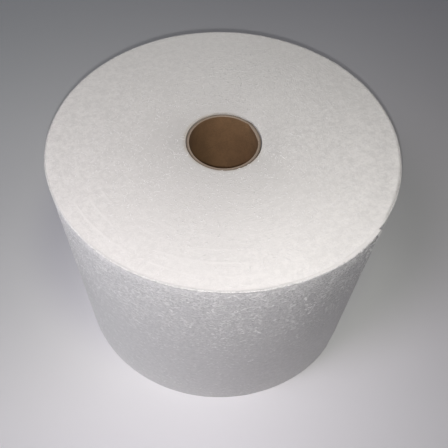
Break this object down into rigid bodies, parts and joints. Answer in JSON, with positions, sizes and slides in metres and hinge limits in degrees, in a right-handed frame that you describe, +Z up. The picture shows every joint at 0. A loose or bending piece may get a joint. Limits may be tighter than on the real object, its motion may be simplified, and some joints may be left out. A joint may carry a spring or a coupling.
{
  "type": "insulation roll",
  "caption": "Roll of thin white non-woven insulation mat on a cardboard core tube, stored standing on its end, with a through bore and the free end of the web on the outside.",
  "frame": {"origin": "centre of the end that the roll stands on, on the floor and on the axis of the core", "axes": "+Z up along the roll's axis, +X to the right and -Y towards the viewer; the web's free end is 34.8 degrees clockwise of +X seen from above"},
  "size_m": [0.382, 0.382, 0.276],
  "materials": {
    "mat_fleece": "matte",
    "kraft_board": "matte"
  },
  "bodies": {
    "root": {"wound_mat": "mat_fleece", "core_tube": "kraft_board"}
  },
  "joints": []
}
